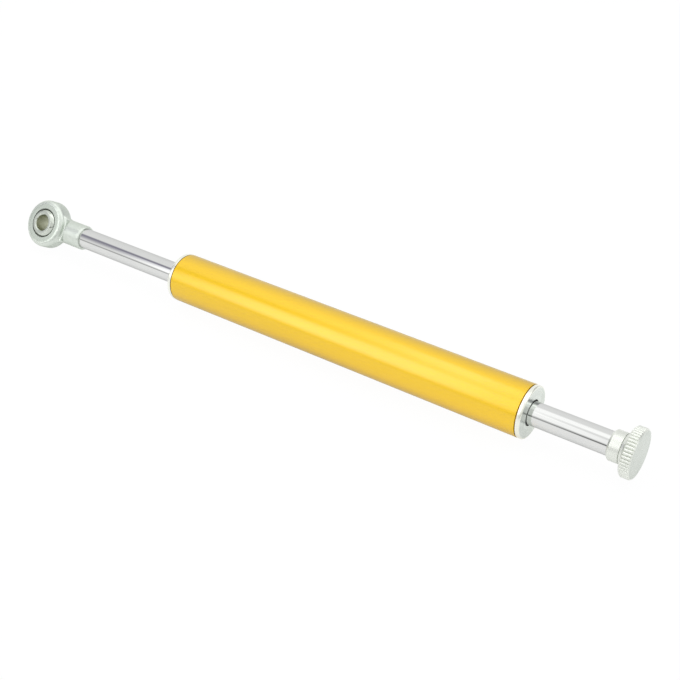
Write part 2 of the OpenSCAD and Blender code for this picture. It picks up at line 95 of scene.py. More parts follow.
class Grain(Enum):
    """How a surface was worked, which sets the run of its fine marks."""

    DRAWN = "along the axis"
    TURNED = "round the axis"
    EVEN = "all ways"


def linear(code: str) -> Tuple[float, float, float, float]:
    """Turns an sRGB hex colour to linear.

    Args:
        code: Six hex digits after a hash.

    Returns:
        Linear red, green, blue and an alpha of 1.
    """
    parts = [int(code[i:i + 2], 16) / 255 for i in (1, 3, 5)]
    curve = [c / 12.92 if c <= 0.04045 else ((c + 0.055) / 1.055) ** 2.4 for c in parts]
    return curve[0], curve[1], curve[2], 1.0


def add_node(tree: bpy.types.NodeTree, kind: str, inputs: Optional[Dict[Any, Any]] = None,
             **settings: Any) -> bpy.types.Node:
    """Adds a node with its settings and links.

    Args:
        tree: The node tree that gets it.
        kind: The node's type name.
        inputs: A value or an output socket for each input, by name or number.
        settings: Attributes of the node.

    Returns:
        The new node.
    """
    node = tree.nodes.new(kind)
    for key, value in settings.items():
        setattr(node, key, value)
    for key, value in (inputs or {}).items():
        if isinstance(value, bpy.types.NodeSocket):
            tree.links.new(value, node.inputs[key])
        else:
            node.inputs[key].default_value = value
    return node


@dataclass(frozen=True)
class Finish:
    """One surface finish, or a lit or shaded copy of one that carries a painted highlight or
    painted shade.

    Attributes:
        name: The finish in a maker's words, naming any painted shade or painted highlight.
        colour: Its main colour.
        tone: The colour that it drifts to in soft patches.
        metallic: 1 for bare or plated metal, 0 for rubber and plastic.
        roughness: Mean roughness.
        drift: How far the roughness wanders either way.
        grain: The run of its fine marks.
        pitch: Width of a mark in mm, drawn as coarse as it needs to show.
        depth: Depth of the marks in mm.
        patch: Width of the soft patches in mm.
        coat: Weight of a clear layer on top.
        coat_roughness: Roughness of that layer.
        coat_ior: Its refractive index.
        edge_tint: Colour of a metal at a grazing look.
        centre: Middle of a turned pattern in mm.
        turn: Turn of a turned pattern in degrees, which brings its axis to X.
    """

    name: str
    colour: str
    tone: str
    metallic: float
    roughness: float
    drift: float
    grain: Grain
    pitch: float
    depth: float
    patch: float = 7.0
    coat: float = 0.0
    coat_roughness: float = 0.03
    coat_ior: float = 1.5
    edge_tint: str = "#ffffff"
    centre: Tuple[float, float, float] = (0.0, 0.0, 0.0)
    turn: Tuple[float, float, float] = (0.0, 0.0, 0.0)

    def marks(self, tree: bpy.types.NodeTree, place: bpy.types.NodeSocket) -> bpy.types.NodeSocket:
        """Draws the fine marks.

        Args:
            tree: The material's nodes.
            place: The point on the piece, in metres from the pattern's middle.

        Returns:
            Their height, from 0 to 1.
        """
        fine = 1 / (self.pitch * MM)
        if self.grain is Grain.TURNED:
            flat = add_node(tree, "ShaderNodeVectorMath", {0: place, 1: (0.0, 1.0, 1.0)},
                            operation="MULTIPLY")
            radius = add_node(tree, "ShaderNodeVectorMath", {0: flat.outputs[0]},
                              operation="LENGTH")
            along = add_node(tree, "ShaderNodeSeparateXYZ", {0: place})
            place = add_node(tree, "ShaderNodeCombineXYZ", {
                "X": along.outputs["X"], "Y": radius.outputs["Value"]}).outputs[0]
        long = fine / DRAWN_STRETCH if self.grain is Grain.DRAWN else fine
        scaled = add_node(tree, "ShaderNodeVectorMath", {0: place, 1: (long, fine, fine)},
                          operation="MULTIPLY")
        noise = add_node(tree, "ShaderNodeTexNoise", {
            "Vector": scaled.outputs[0], "Scale": 1.0, "Detail": 3.0, "Roughness": 0.55})
        return noise.outputs[0]

    def build(self) -> bpy.types.Material:
        """Makes the finish.

        Returns:
            The new material.
        """
        material = bpy.data.materials.new(self.name)
        material.use_nodes = True
        tree = material.node_tree
        tree.nodes.clear()
        coords = add_node(tree, "ShaderNodeTexCoord")
        turn = Euler([math.radians(a) for a in self.turn])
        place = add_node(tree, "ShaderNodeMapping", {
            "Vector": coords.outputs["Object"], "Rotation": turn,
            "Location": turn.to_matrix() @ Vector(self.centre) * -MM})
        height = self.marks(tree, place.outputs[0])
        patches = add_node(tree, "ShaderNodeTexNoise", {
            "Vector": coords.outputs["Object"], "Scale": 1 / (self.patch * MM), "Detail": 2.0})
        spread = add_node(tree, "ShaderNodeMath", {0: height, 1: patches.outputs[0]},
                          operation="ADD")
        share = add_node(tree, "ShaderNodeMapRange", {
            "Value": spread.outputs[0], "From Min": 0.7, "From Max": 1.3})
        colour = add_node(tree, "ShaderNodeMix", {
            0: share.outputs[0], 6: linear(self.colour), 7: linear(self.tone)}, data_type="RGBA")
        rough = add_node(tree, "ShaderNodeMapRange", {
            "Value": share.outputs[0], "To Min": self.roughness - self.drift,
            "To Max": self.roughness + self.drift})
        bump = add_node(tree, "ShaderNodeBump", {
            "Height": height, "Strength": 1.0, "Distance": self.depth * MM})
        shader = add_node(tree, "ShaderNodeBsdfPrincipled", {
            "Base Color": colour.outputs[2], "Metallic": self.metallic,
            "Roughness": rough.outputs[0], "Specular Tint": linear(self.edge_tint),
            "Coat Weight": self.coat, "Coat Roughness": self.coat_roughness,
            "Coat IOR": self.coat_ior, "Normal": bump.outputs[0]})
        add_node(tree, "ShaderNodeOutputMaterial", {"Surface": shader.outputs[0]})
        return material


EYE_CENTRE = (-181.55, 0.0, 0.0)
EYE_ROLL = 34.0
# Brings the bolt bore to X, for the rings turned round it.
EYE_TURN = (EYE_ROLL, 0.0, 90.0)

FINISHES: Dict[Slot, Finish] = {
    # Drawn tube, bead blasted and dyed gold: a warm satin with a clear oxide gloss over it.
    Slot.GOLD: Finish("satin gold anodised aluminium", "#f4ca0d", "#f6cc12", 1.0, 0.51, 0.03,
                      Grain.DRAWN, 0.5, 0.0008, 12.0, coat=0.72, coat_roughness=0.17,
                      coat_ior=1.75, edge_tint="#1e5a0a"),
    # Faced on a lathe: pale grey with fine rings.
    Slot.CAP: Finish("fine faced aluminium", "#dde3dc", "#c8cfc7", 1.0, 0.22, 0.05,
                     Grain.TURNED, 0.8, 0.004),
    # Clear anodised after turning: pale, even and softly glossy.
    Slot.KNOB: Finish("clear anodised satin aluminium", "#e4e7e0", "#dfe2db", 1.0, 0.38, 0.04,
                      Grain.TURNED, 0.5, 0.001),
    # As turned, inside the tube.
    Slot.PLAIN_ALUMINIUM: Finish("turned aluminium", "#dddee0", "#d2d4d6", 1.0, 0.3, 0.06,
                                 Grain.TURNED, 0.4, 0.003),
    # Ground and polished chrome: a near mirror.
    Slot.CHROME: Finish("polished hard chrome", "#d9dad8", "#d6d7d6", 1.0, 0.06, 0.015,
                        Grain.DRAWN, 0.6, 0.00012, edge_tint="#dcdcdc"),
    # Forged eye, bright zinc plated: grey satin with a faint green cast and soft waves.
    Slot.ZINC: Finish("satin zinc plated steel", "#dae0d8", "#d2d9d1", 1.0, 0.44, 0.04,
                      Grain.EVEN, 2.6, 0.004, 4.0, edge_tint="#dadcd8"),
    # Ground and lapped ball.
    Slot.BEARING: Finish("polished bearing steel", "#ccd1c8", "#bec4bb", 1.0, 0.14, 0.03,
                         Grain.TURNED, 0.4, 0.0006, 3.0, centre=EYE_CENTRE,
                         turn=EYE_TURN),
    # Turned steel, oiled.
    Slot.PLAIN_STEEL: Finish("turned steel", "#c9cacc", "#bbbdbf", 1.0, 0.32, 0.06,
                             Grain.TURNED, 0.4, 0.003),
    # Hardened wire and strip, dark grey from its phosphate bath.
    Slot.SPRING: Finish("phosphated spring steel", "#5a5a5c", "#4c4c4f", 1.0, 0.42, 0.08,
                        Grain.EVEN, 0.3, 0.002, 2.0),
    # Sintered and oil filled: brown with small pores.
    Slot.BRONZE: Finish("sintered bronze", "#c59a63", "#b08a58", 1.0, 0.45, 0.08,
                        Grain.EVEN, 0.35, 0.006, 3.0),
    # Turned brass.
    Slot.BRASS: Finish("turned brass", "#e0c47c", "#d6b96e", 1.0, 0.25, 0.05,
                       Grain.TURNED, 0.3, 0.002, 3.0),
    # Moulded nitrile: near black and matt.
    Slot.BLACK_RUBBER: Finish("moulded nitrile rubber", "#1b1b1c", "#232324", 0.0, 0.62, 0.1,
                              Grain.EVEN, 0.3, 0.006, 2.0),
    # Moulded fluorocarbon rubber: dark brown and matt.
    Slot.BROWN_RUBBER: Finish("moulded brown rubber", "#4b2c1c", "#402416", 0.0, 0.6, 0.1,
                              Grain.EVEN, 0.3, 0.006, 2.0),
    # PTFE with graphite: grey, waxy.
    Slot.PTFE: Finish("graphite filled ptfe", "#7c7e79", "#70726d", 0.0, 0.5, 0.08,
                      Grain.EVEN, 0.3, 0.004, 2.0),
}

# The ball's bore is left as drilled and oiled, so it looks dull beside the lapped outside; its
# darker olive colour is painted shade inside the hole.
SHADED_BORE_FINISH = Finish("oiled drilled steel with painted shade", "#babda6", "#a8ab94", 1.0, 0.45, 0.08, Grain.TURNED,
                     0.5, 0.006, 3.0, centre=EYE_CENTRE, turn=EYE_TURN)
# The eye's faces are turned before plating and finely ringed; their darker colour than the forging
# is painted shade, a shaded copy of the zinc.
SHADED_EYE_FACE_FINISH = Finish("turned zinc plated steel with painted shade", "#c3cac1", "#b6beb4", 1.0, 0.27, 0.05,
                         Grain.TURNED, 0.9, 0.0015, 4.0, centre=EYE_CENTRE, turn=EYE_TURN)
# The caps' rims are polished after facing; their whiter colour than the faces is a painted
# highlight, which gives a white line round the tube's ends.
RIM_HIGHLIGHT_FINISH = Finish("polished aluminium with painted highlight", "#eff0e6", "#eaece0", 1.0, 0.3, 0.04, Grain.TURNED, 0.6,
                    0.001)
# The knob's front is faced flat before anodising; its greyer colour than the ribs is painted shade,
# a shaded copy of the knob's aluminium.
SHADED_KNOB_FACE_FINISH = Finish("faced satin aluminium with painted shade", "#cad0c8", "#c5cbc3", 1.0, 0.3, 0.05, Grain.TURNED,
                      0.6, 0.001)


class Paints:
    """The materials of the part, made once each."""

    def __init__(self) -> None:
        """Starts with none made."""
        self.made: Dict[str, bpy.types.Material] = {}

    def get(self, finish: Finish) -> bpy.types.Material:
        """Gives a finish its material, which is made at the first call.

        Args:
            finish: The finish.

        Returns:
            Its material.
        """
        if finish.name not in self.made:
            self.made[finish.name] = finish.build()
        return self.made[finish.name]


PAINTS = Paints()


@dataclass(frozen=True)
class Corner:
    """A corner of a turned profile in mm, cut back by its rounding on both sides."""

    x: float
    r: float
    rounding: float = 0.0


@dataclass(frozen=True)
class Bow:
    """A round stretch of a profile about a centre in mm, from the corner before it."""

    x: float
    r: float
    degrees: float
    steps: int = 24


Profile = Sequence[Union[Corner, Bow]]


def wire(profile: Profile, closed: bool) -> bmesh.types.BMesh:
    """Draws a profile in the plane of X and Z.

    Args:
        profile: Corners and bows in order.
        closed: Whether the last corner joins the first.

    Returns:
        The profile's edges.
    """
    bm = bmesh.new()
    first: Optional[bmesh.types.BMVert] = None
    last: Optional[bmesh.types.BMVert] = None
    rounded: List[Tuple[bmesh.types.BMVert, float]] = []
    for part in profile:
        if isinstance(part, Bow):
            bent = bmesh.ops.spin(bm, geom=[last], cent=(part.x * MM, 0, part.r * MM), axis=Y_AXIS,
                                  angle=math.radians(part.degrees), steps=part.steps)
            last = next(v for v in bent["geom_last"] if isinstance(v, bmesh.types.BMVert))
            continue
        corner = bm.verts.new((part.x * MM, 0, part.r * MM))
        if part.rounding:
            rounded.append((corner, part.rounding))
        if last is not None:
            bm.edges.new((last, corner))
        first, last = first or corner, corner
    if closed:
        bm.edges.new((last, first))
    for corner, rounding in rounded:
        bmesh.ops.bevel(bm, geom=[corner], offset=rounding * MM, offset_type="OFFSET",
                        segments=ROUNDING_STEPS, profile=0.5, affect="VERTICES", material=-1)
    return bm


def turned(profile: Profile, steps: int, closed: bool = True) -> bmesh.types.BMesh:
    """Turns a profile about the X axis.

    Args:
        profile: Corners and bows in order, with radii along Z.
        steps: Steps of the full turn.
        closed: Whether the last corner joins the first; otherwise both lie on the axis.

    Returns:
        The turned solid.
    """
    bm = wire(profile, closed)
    bmesh.ops.spin(bm, geom=bm.verts[:] + bm.edges[:], cent=(0, 0, 0), axis=X_AXIS,
                   angle=math.tau, steps=steps, use_merge=True)
    close(bm)
    return bm


def plate(outline: Profile, half: float, place: Matrix) -> bmesh.types.BMesh:
    """Makes a flat plate from an outline.

    Args:
        outline: Corners and bows in order, in X and Z.
        half: Half its thickness along Y in mm.
        place: Where it goes.

    Returns:
        The plate.
    """
    bm = wire(outline, True)
    face = bmesh.ops.contextual_create(bm, geom=bm.edges[:])["faces"]
    bmesh.ops.translate(bm, vec=(0, -half * MM, 0), verts=bm.verts[:])
    grown = bmesh.ops.extrude_face_region(bm, geom=face, use_keep_orig=True)["geom"]
    bmesh.ops.translate(bm, vec=(0, 2 * half * MM, 0),
                        verts=[v for v in grown if isinstance(v, bmesh.types.BMVert)])
    close(bm)
    bmesh.ops.transform(bm, matrix=place, verts=bm.verts[:])
    return bm


def close(bm: bmesh.types.BMesh) -> None:
    """Merges doubles and turns every face outwards."""
    bmesh.ops.remove_doubles(bm, verts=bm.verts[:], dist=MERGE)
    bmesh.ops.recalc_face_normals(bm, faces=bm.faces[:])


def rod_shape(radius: float, length: float, steps: int, place: Matrix) -> bmesh.types.BMesh:
    """Makes a round bar, which cuts a hole.

    Args:
        radius: Its radius in mm.
        length: Its length in mm.
        steps: Sides of its circle.
        place: Where its middle lies, with the bar along Z, in metres.

    Returns:
        The bar.
    """
    bm = bmesh.new()
    bmesh.ops.create_cone(bm, cap_ends=True, segments=steps, radius1=radius * MM,
                          radius2=radius * MM, depth=length * MM, matrix=place)
    return bm


def as_object(bm: bmesh.types.BMesh, name: str) -> bpy.types.Object:
    """Turns a bmesh into an object in the scene and frees it.

    Args:
        bm: The shape.
        name: The object's name.

    Returns:
        The object.
    """
    mesh = bpy.data.meshes.new(name)
    bm.to_mesh(mesh)
    bm.free()
    made = bpy.data.objects.new(name, mesh)
    bpy.context.scene.collection.objects.link(made)
    return made


def settle(made: bpy.types.Object) -> None:
    """Makes an object's modifiers part of its mesh.

    Args:
        made: The object.
    """
    seen = made.evaluated_get(bpy.context.evaluated_depsgraph_get())
    mesh = bpy.data.meshes.new_from_object(seen)
    made.modifiers.clear()
    old, made.data = made.data, mesh
    mesh.name = made.name
    bpy.data.meshes.remove(old)


def drop(made: bpy.types.Object) -> None:
    """Deletes an object and its mesh.

    Args:
        made: The object.
    """
    mesh = made.data
    bpy.data.objects.remove(made)
    bpy.data.meshes.remove(mesh)


def cut_out(made: bpy.types.Object, cutters: Sequence[bmesh.types.BMesh]) -> None:
    """Cuts holes in an object.

    Args:
        made: The object.
        cutters: The shapes to take out of it.
    """
    tools = [as_object(cutter, "hole") for cutter in cutters]
    for tool in tools:
        cut = made.modifiers.new("cut", "BOOLEAN")
        cut.operation, cut.solver, cut.object = "DIFFERENCE", "EXACT", tool
    settle(made)
    for tool in tools:
        drop(tool)


@dataclass
class SubAssembly:
    """What every sub-assembly of the damper shares.

    Attributes:
        steps: Steps of a full turn of its round pieces.
        crease: Angle in degrees above which an edge shades sharp.
    """

    steps: int = 192
    crease: float = 38.0

    def dress(self, made: bpy.types.Object, slot: Slot, body: Body, node: str) -> None:
        """Gives a piece its finish and puts it in the place of its node.

        Args:
            made: The piece.
            slot: The record's slot whose finish it takes.
            body: The body that carries it.
            node: The node that it stands for.
        """
        made.data.materials.append(PAINTS.get(FINISHES[slot]))
        made.data.shade_smooth()
        made.data.set_sharp_from_angle(angle=math.radians(self.crease))
        made.modifiers.new("even_shading", "WEIGHTED_NORMAL").keep_sharp = True
        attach(made, body.value)
        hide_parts(node)
        log.info("%s: %d faces on %s", made.name, len(made.data.polygons), body.value)

    def paint_some(self, made: bpy.types.Object, finish: Finish,
                   chosen: Callable[[bpy.types.MeshPolygon], bool]) -> None:
        """Gives some faces of a dressed piece another finish.

        Args:
            made: The piece.
            finish: The other finish.
            chosen: Tells whether a face takes it.
        """
        made.data.materials.append(PAINTS.get(finish))
        for face in made.data.polygons:
            if chosen(face):
                face.material_index = len(made.data.materials) - 1


@dataclass
class Barrel(SubAssembly):
    """The gold tube with a gland cap and a wiper at each end."""

    steps: int = 256
    tube_end: float = 89.25
    tube_r: float = 11.25
    tube_bore: float = 9.5
    tube_edge: float = 0.12
    bore_edge: float = 0.1
    seam_w: float = 0.42
    seam_r: float = 10.3
    face: float = 91.05
    flange_r: float = 11.2
    flange_round: float = 0.6
    flange_back: float = 0.08
    lip_r: float = 5.55
    lip_t: float = 1.0
    lip_edge: float = 0.22
    gland_r: float = 7.0
    plug_r: float = 9.48
    plug_end: float = 70.05
    plug_lead: float = 0.6
    plug_edge: float = 0.1
    clip_face: float = 73.45
    clip_t: float = 1.0
    clip_bite: float = 0.5
    ring_x: float = 78.05
    ring_half: float = 0.52
    ring_root: float = 8.48
    wiper_back: float = 87.45
    wiper_bore: float = 5.03
    wiper_r: float = 6.98
    wiper_lip_r: float = 5.53
    wiper_tip: float = 90.9
    wiper_slope: float = 0.35
    wiper_soft: float = 0.06
    wiper_edge: float = 0.1

    def tube(self) -> None:
        """Builds the tube, with a fine open seam at each cap."""
        end, out, brink = self.tube_end, self.tube_r, self.tube_end - self.seam_w
        shape = turned([
            Corner(-end, self.tube_bore, self.bore_edge), Corner(-end, self.seam_r),
            Corner(-brink, self.seam_r), Corner(-brink, out, self.tube_edge),
            Corner(brink, out, self.tube_edge), Corner(brink, self.seam_r),
            Corner(end, self.seam_r), Corner(end, self.tube_bore, self.bore_edge)], self.steps)
        self.dress(as_object(shape, "gold_tube"), Slot.GOLD, Body.BARREL, "damper_tube")

    def cap(self, side: int) -> None:
        """Builds a gland cap: a flange with a round rim, a plug and a stepped bore.

        Args:
            side: 1 on the right, -1 on the left.
        """
        front, clip = self.face - self.lip_t, self.clip_face - self.clip_t
        deep = self.gland_r + self.clip_bite
        shape = turned([
            Corner(self.tube_end, self.plug_r),
            Corner(self.tube_end, self.flange_r, self.flange_back),
            Corner(self.face, self.flange_r, self.flange_round),
            Corner(self.face, self.lip_r, self.lip_edge),
            Corner(front, self.lip_r), Corner(front, self.gland_r),
            Corner(self.clip_face, self.gland_r), Corner(self.clip_face, deep),
            Corner(clip, deep), Corner(clip, self.gland_r),
            Corner(self.plug_end, self.gland_r, self.plug_edge),
            Corner(self.plug_end, self.plug_r - self.plug_lead, self.plug_edge),
            Corner(self.plug_end + self.plug_lead, self.plug_r, self.plug_edge),
            Corner(self.ring_x - self.ring_half, self.plug_r),
            Corner(self.ring_x - self.ring_half, self.ring_root),
            Corner(self.ring_x + self.ring_half, self.ring_root),
            Corner(self.ring_x + self.ring_half, self.plug_r)], self.steps)
        made = self.on_side(shape, side, "gland_cap", Slot.CAP, "end_cap")
        rim_r, rim_x = (self.flange_r - self.flange_round) * MM, self.tube_end * MM
        # The rim takes a whiter copy of the cap's aluminium, which is a painted highlight.
        self.paint_some(made, RIM_HIGHLIGHT_FINISH, lambda face: abs(face.center.x) > rim_x
                        and face.center.yz.length > rim_r)

    def wiper(self, side: int) -> None:
        """Builds a wiper whose thin lip fills the gap between cap and rod.

        Args:
            side: 1 on the right, -1 on the left.
        """
        root, bore, lip = self.face - self.lip_t, self.wiper_bore, self.wiper_lip_r
        tip, soft = self.wiper_tip, self.wiper_soft
        shape = turned([
            Corner(self.wiper_back, bore), Corner(tip, bore, soft),
            Corner(tip, (bore + lip) / 2, soft), Corner(tip - self.wiper_slope, lip, soft),
            Corner(root, lip), Corner(root, self.wiper_r, self.wiper_edge),
            Corner(self.wiper_back, self.wiper_r, self.wiper_edge)], self.steps)
        self.on_side(shape, side, "rod_wiper", Slot.BLACK_RUBBER, "wiper_seal")

    def on_side(self, shape: bmesh.types.BMesh, side: int, name: str, slot: Slot,
                node: str) -> bpy.types.Object:
        """Puts a right-hand shape on its side of the tube and dresses it.

        Args:
            shape: The shape as it lies on the right.
            side: 1 on the right, -1 on the left.
            name: The piece's name without its side.
            slot: Its finish.
            node: The node's name without its side.

        Returns:
            The piece.
        """
        word = "right" if side > 0 else "left"
        if side < 0:
            bmesh.ops.scale(shape, vec=(-1, 1, 1), verts=shape.verts[:])
            close(shape)
        made = as_object(shape, f"{word}_{name}")
        self.dress(made, slot, Body.BARREL, f"{word}_{node}")
        return made

    def build(self) -> None:
        """Builds the tube and both glands."""
        self.tube()
        for side in (-1, 1):
            self.cap(side)
            self.wiper(side)


@dataclass
class Rod(SubAssembly):
    """The chromed rod with its stud, clip grooves, valve bore and cross ports."""

    stud_end: float = -164.6
    stud_r: float = 4.0
    stud_chamfer: float = 0.8
    stud_edge: float = 0.1
    left: float = -156.8
    right: float = 124.3
    rod_r: float = 5.0
    rod_edge: float = 0.12
    grooves: Tuple[float, float] = (-23.5, -8.5)
    groove_w: float = 1.0
    groove_r: float = 4.5
    bore_r: float = 2.2
    bore_end: float = -30.0
    spigot_r: float = 3.02
    spigot_x: float = 115.3
    ports: Tuple[float, float] = (-27.0, -4.0)
    port_r: float = 1.5
    drill_len: float = 14.0
    drill_sides: int = 48

    def build(self) -> None:
        """Builds the rod."""
        profile = [
            Corner(self.stud_end, 0), Corner(self.stud_end, self.stud_r - self.stud_chamfer),
            Corner(self.stud_end + self.stud_chamfer, self.stud_r, self.stud_edge),
            Corner(self.left, self.stud_r), Corner(self.left, self.rod_r, self.rod_edge)]
        for near in self.grooves:
            far = near + self.groove_w
            profile += [Corner(near, self.rod_r), Corner(near, self.groove_r),
                        Corner(far, self.groove_r), Corner(far, self.rod_r)]
        profile += [
            Corner(self.right, self.rod_r, self.rod_edge), Corner(self.right, self.spigot_r),
            Corner(self.spigot_x, self.spigot_r), Corner(self.spigot_x, self.bore_r),
            Corner(self.bore_end, self.bore_r), Corner(self.bore_end, 0)]
        made = as_object(turned(profile, self.steps, closed=False), "chromed_rod")
        cut_out(made, [rod_shape(self.port_r, self.drill_len, self.drill_sides,
                                 Matrix.Translation((x * MM, 0, 0))) for x in self.ports])
        self.dress(made, Slot.CHROME, Body.ROD, "piston_rod")


@dataclass
class RodEnd(SubAssembly):
    """The forged eye with its liner and ball."""

    eye_r: float = 11.8
    eye_half: float = 4.25
    eye_round: float = 2.1
    seat_r: float = 8.4875
    seat_skin: float = 0.3
    seat_steps: int = 96
    web_half: float = 1.9
    web_round: float = 6.0
    shank_r: float = 6.05
    shank_len: float = 26.25
    shank_stock: float = 1.0
    overcut: float = 2.0
    chamfer_len: float = 1.2
    chamfer_depth: float = 0.45
    socket: float = 1.5
    mouth_r: float = 5.02
    stud_hole_r: float = 4.02
    stud_hole_x: float = 16.45
    ball_r: float = 7.9375
    ball_half: float = 5.5
    ball_edge: float = 0.1
    ball_steps: int = 56
    bore_r: float = 4.0
    bore_chamfer: float = 0.4
    bore_edge: float = 0.08
    bore_skin: float = 0.05
    face_skin: float = 0.06
    liner_bore: float = 7.9675
    liner_r: float = 8.4675
    liner_half: float = 3.7
    voxel: float = 0.18
    smoothing: int = 60
    smoothing_share: float = 0.5

    def leaned(self) -> Matrix:
        """Gives the place of a shape drawn about the eye's middle, with the bolt bore along Y."""
        return Matrix.Translation(Vector(EYE_CENTRE) * MM) @ Matrix.Rotation(
            math.radians(-EYE_ROLL), 4, "X")

    def at_eye(self) -> Matrix:
        """Gives the place of a shape turned about X, which brings it to the bolt bore."""
        return self.leaned() @ Matrix.Rotation(math.radians(-90), 4, "Z")

    def placed(self, shape: bmesh.types.BMesh, name: str) -> bpy.types.Object:
        """Brings a shape turned about X to the bolt bore and makes it an object."""
        bmesh.ops.transform(shape, matrix=self.at_eye(), verts=shape.verts[:])
        return as_object(shape, name)

    def disc(self) -> bpy.types.Object:
        """Makes the eye's blank, a disc with a round rim.

        Returns:
            The blank.
        """
        half, out = self.eye_half, self.eye_r
        return self.placed(turned([
            Corner(-half, 0), Corner(-half, out, self.eye_round), Corner(half, out, self.eye_round),
            Corner(half, 0)], self.steps, closed=False), "disc")

    def web(self) -> bpy.types.Object:
        """Makes the thin web whose hollow sides run from the eye to the shank.

        Returns:
            The web.
        """
        reach, z = self.eye_r + self.web_round, self.shank_r + self.web_round
        x = math.sqrt(reach ** 2 - z ** 2)
        share, sweep = self.eye_r / reach, math.degrees(math.atan2(x, z))
        return as_object(plate([
            Corner(x * share, z * share), Bow(x, z, -sweep), Corner(x, -self.shank_r),
            Bow(x, -z, -sweep)], self.web_half, self.leaned()), "web")

    def shank(self) -> bpy.types.Object:
        """Makes the round shank, with its sides cut down to the web in a hollow curve.

        Returns:
            The shank, a little long.
        """
        start, over = self.seat_r + self.seat_skin, self.shank_r + self.overcut
        end, behind = self.shank_len + self.shank_stock, start - self.shank_stock
        made = as_object(turned([
            Corner(start, 0), Corner(start, self.shank_r), Corner(end, self.shank_r),
            Corner(end, 0)], self.steps, closed=False), "shank")
        made.data.transform(Matrix.Translation(Vector(EYE_CENTRE) * MM))
        neck = [Corner(self.eye_r, self.web_half), Bow(self.eye_r, self.shank_r, -90),
                Corner(self.eye_r + self.shank_r - self.web_half, over), Corner(behind, over),
                Corner(behind, self.web_half)]
        sides = [Matrix.Rotation(math.radians(turn), 4, "X") for turn in (-90, 90)]
        cut_out(made, [plate(neck, over, self.leaned() @ side) for side in sides])
        return made

    def end_tool(self) -> bmesh.types.BMesh:
        """Makes the shape that faces, chamfers and bores the shank's end.

        Returns:
            The shape to take out.
        """
        end, out, room = self.shank_len, self.shank_r, self.overcut
        tool = turned([
            Corner(self.stud_hole_x, 0), Corner(self.stud_hole_x, self.stud_hole_r),
            Corner(end - self.socket, self.stud_hole_r), Corner(end - self.socket, self.mouth_r),
            Corner(end, self.mouth_r), Corner(end, out - self.chamfer_depth),
            Corner(end - 2 * self.chamfer_len, out + self.chamfer_depth),
            Corner(end + room, out + self.chamfer_depth), Corner(end + room, 0)],
            self.steps, closed=False)
        bmesh.ops.translate(tool, vec=Vector(EYE_CENTRE) * MM, verts=tool.verts[:])
        return tool

    def seat_tool(self) -> bmesh.types.BMesh:
        """Makes the sphere that cuts the seat of the liner.

        Returns:
            The sphere.
        """
        tool = turned([Corner(-self.seat_r, 0), Bow(0, 0, 180, self.seat_steps)], self.steps,
                      closed=False)
        bmesh.ops.transform(tool, matrix=self.at_eye(), verts=tool.verts[:])
        return tool

    def housing(self) -> None:
        """Blends disc, web and shank into a forging, then machines its seat and its end."""
        bm = bmesh.new()
        for blank in (self.disc(), self.web(), self.shank()):
            bm.from_mesh(blank.data)
            drop(blank)
        made = as_object(bm, "forged_eye")
        skin = made.modifiers.new("skin", "REMESH")
        skin.mode, skin.voxel_size = "VOXEL", self.voxel * MM
        blend = made.modifiers.new("blend", "SMOOTH")
        blend.factor, blend.iterations = self.smoothing_share, self.smoothing
        settle(made)
        cut_out(made, [self.seat_tool(), self.end_tool()])
        self.dress(made, Slot.ZINC, Body.ROD, "rod_end_housing")
        to_bore, edge = self.at_eye().inverted(), (self.eye_r - self.eye_round) * MM
        flat = (self.eye_half - self.face_skin) * MM
        # The eye's flat faces take the darker copy of the zinc, which is painted shade.
        self.paint_some(made, SHADED_EYE_FACE_FINISH, lambda face: abs((to_bore @ face.center).x) > flat
                        and (to_bore @ face.center).yz.length < edge)

    def liner(self) -> None:
        """Builds the liner, a band between two spheres."""
        half = self.liner_half
        inner, outer = (2 * math.degrees(math.asin(half / r))
                        for r in (self.liner_bore, self.liner_r))
        shape = turned([
            Corner(-half, math.sqrt(self.liner_bore ** 2 - half ** 2)), Bow(0, 0, inner),
            Corner(half, math.sqrt(self.liner_r ** 2 - half ** 2)), Bow(0, 0, -outer)], self.steps)
        self.dress(self.placed(shape, "ball_liner"), Slot.PTFE, Body.ROD, "rod_end_liner")

    def ball(self) -> None:
        """Builds the ball with its flat faces, and a bolt bore of a duller finish with painted
        shade.
        """
        half, mouth = self.ball_half, self.bore_r + self.bore_chamfer
        flat = math.sqrt(self.ball_r ** 2 - half ** 2)
        sweep = 2 * math.degrees(math.asin(half / self.ball_r))
        shape = turned([
            Corner(-half, mouth, self.bore_edge),
            Corner(-half + self.bore_chamfer, self.bore_r, self.bore_edge),
            Corner(half - self.bore_chamfer, self.bore_r, self.bore_edge),
            Corner(half, mouth, self.bore_edge), Corner(half, flat, self.ball_edge),
            Bow(0, 0, -sweep, self.ball_steps)], self.steps)
        made = self.placed(shape, "swivel_ball")
        self.dress(made, Slot.BEARING, Body.BALL, "rod_end_ball")
        to_bore, wall = self.at_eye().inverted(), (self.bore_r + self.bore_skin) * MM
        # The bore's faces take the drilled finish, whose darker colour is painted shade.
        self.paint_some(made, SHADED_BORE_FINISH, lambda face: (to_bore @ face.center).yz.length < wall)

    def build(self) -> None:
        """Builds the eye, the liner and the ball."""
        self.housing()
        self.liner()
        self.ball()


